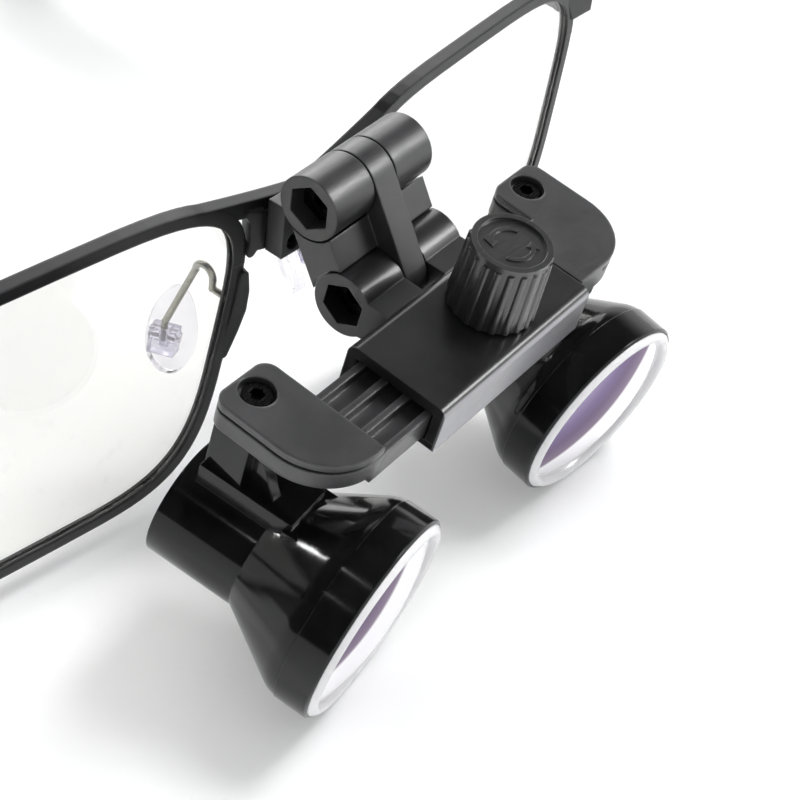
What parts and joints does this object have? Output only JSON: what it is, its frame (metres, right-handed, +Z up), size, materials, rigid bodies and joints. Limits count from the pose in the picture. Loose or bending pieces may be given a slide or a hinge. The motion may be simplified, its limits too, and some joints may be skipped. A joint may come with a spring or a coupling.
{
  "type": "surgical loupes",
  "caption": "Flip-up magnifying loupes on a full-rim spectacle frame: double hinge, slide housing with pupil distance knob, and flared telescopes on sliding arms.",
  "frame": {"origin": "middle of the bounding box at its foot, where the telescope rings and the temple tips stand on z = 0", "axes": "+Z up, the wearer looks along -Y, the wearer's left is +X"},
  "size_m": [0.1512, 0.1896, 0.0567],
  "materials": {
    "frame_black": "satin black coating",
    "carrier_glass": "clear polished",
    "screw_black": "black oxide",
    "tip_black": "satin moulded",
    "wire_metal": "drawn wire",
    "pad_clear": "clear moulded",
    "hinge_black": "satin black anodised",
    "washer_pale": "smooth moulded",
    "housing_black": "fine matte black coating",
    "knob_black": "satin moulded",
    "pinion_brass": "hobbed",
    "arm_grey": "fine matte moulded",
    "barrel_black": "polished black",
    "bezel_bright": "turned and polished",
    "lens_glass": "coated, faint violet",
    "inner_black": "matte black"
  },
  "bodies": {
    "front": {"front_frame": "frame_black", "left_lens": "carrier_glass", "right_lens": "carrier_glass", "rim_screws": "screw_black", "left_temple_screw": "screw_black", "right_temple_screw": "screw_black", "left_pad_arm": "wire_metal", "right_pad_arm": "wire_metal", "left_pad_pin": "wire_metal", "right_pad_pin": "wire_metal", "left_pad_box": "pad_clear", "right_pad_box": "pad_clear", "bridge_mount": "hinge_black", "bridge_screws": "screw_black", "bridge_backplate": "frame_black", "upper_bolt": "screw_black", "upper_nut": "screw_black"},
    "left_temple_body": {"left_temple": "frame_black", "left_temple_tip": "tip_black"},
    "right_temple_body": {"right_temple": "frame_black", "right_temple_tip": "tip_black"},
    "left_pad_body": {"left_nose_pad": "pad_clear"},
    "right_pad_body": {"right_nose_pad": "pad_clear"},
    "link": {"flip_link": "hinge_black", "upper_washers": "washer_pale", "lower_washers": "washer_pale"},
    "housing": {"slide_housing": "housing_black", "base_plate": "housing_black", "base_screws": "screw_black", "lower_bolt": "screw_black", "lower_nut": "screw_black"},
    "knob": {"pd_knob": "knob_black", "knob_washer": "washer_pale", "pinion": "pinion_brass"},
    "left_telescope": {"left_arm": "arm_grey", "left_arm_screw": "screw_black", "left_barrel": "barrel_black", "left_objective_ring": "barrel_black", "left_bezel": "bezel_bright", "left_objective": "lens_glass", "left_spacer": "inner_black", "left_eyepiece": "lens_glass", "left_eye_ring": "inner_black"},
    "right_telescope": {"right_arm": "arm_grey", "right_arm_screw": "screw_black", "right_barrel": "barrel_black", "right_objective_ring": "barrel_black", "right_bezel": "bezel_bright", "right_objective": "lens_glass", "right_spacer": "inner_black", "right_eyepiece": "lens_glass", "right_eye_ring": "inner_black"}
  },
  "joints": [
    {"name": "left_temple_fold", "type": "hinge", "parent": "front", "child": "left_temple_body", "pos_m": [0.071, -0.03478, 0.04617], "axis": [0, -0.0558, 0.9984], "range_deg": [0, 90]},
    {"name": "right_temple_fold", "type": "hinge", "parent": "front", "child": "right_temple_body", "pos_m": [-0.071, -0.03478, 0.04617], "axis": [0, -0.0558, 0.9984], "range_deg": [-85, 0]},
    {"name": "left_pad_rock", "type": "hinge", "parent": "front", "child": "left_pad_body", "pos_m": [0.01379, -0.03945, 0.02341], "axis": [0.4226, 0.9049, 0.0506], "range_deg": [-8, 8]},
    {"name": "right_pad_rock", "type": "hinge", "parent": "front", "child": "right_pad_body", "pos_m": [-0.01379, -0.03945, 0.02341], "axis": [-0.4226, 0.9049, 0.0506], "range_deg": [-8, 8]},
    {"name": "flip_hinge", "type": "hinge", "parent": "front", "child": "link", "pos_m": [0.00068, -0.06009, 0.05224], "axis": [-0.9976, -0.0698, 0], "range_deg": [0, 95]},
    {"name": "housing_tilt", "type": "hinge", "parent": "link", "child": "housing", "pos_m": [0.0011, -0.06608, 0.04015], "axis": [-0.9976, -0.0698, 0], "range_deg": [-10, 30]},
    {"name": "knob_turn", "type": "hinge", "parent": "housing", "child": "knob", "pos_m": [0.00389, -0.08154, 0.04583], "axis": [0.0145, -0.2074, 0.9781], "range_deg": [0, 152.8]},
    {"name": "left_arm_slide", "type": "slide", "parent": "housing", "child": "left_telescope", "axis": [0.9976, 0.0698, 0], "range_m": [0, 0.008]},
    {"name": "right_arm_slide", "type": "slide", "parent": "housing", "child": "right_telescope", "axis": [-0.9976, -0.0698, 0], "range_m": [0, 0.008]}
  ],
  "couplings": [
    {"joint": "knob_turn", "follows": "left_arm_slide", "rad_per_m": 333.33},
    {"joint": "right_arm_slide", "follows": "left_arm_slide", "ratio": 1}
  ]
}
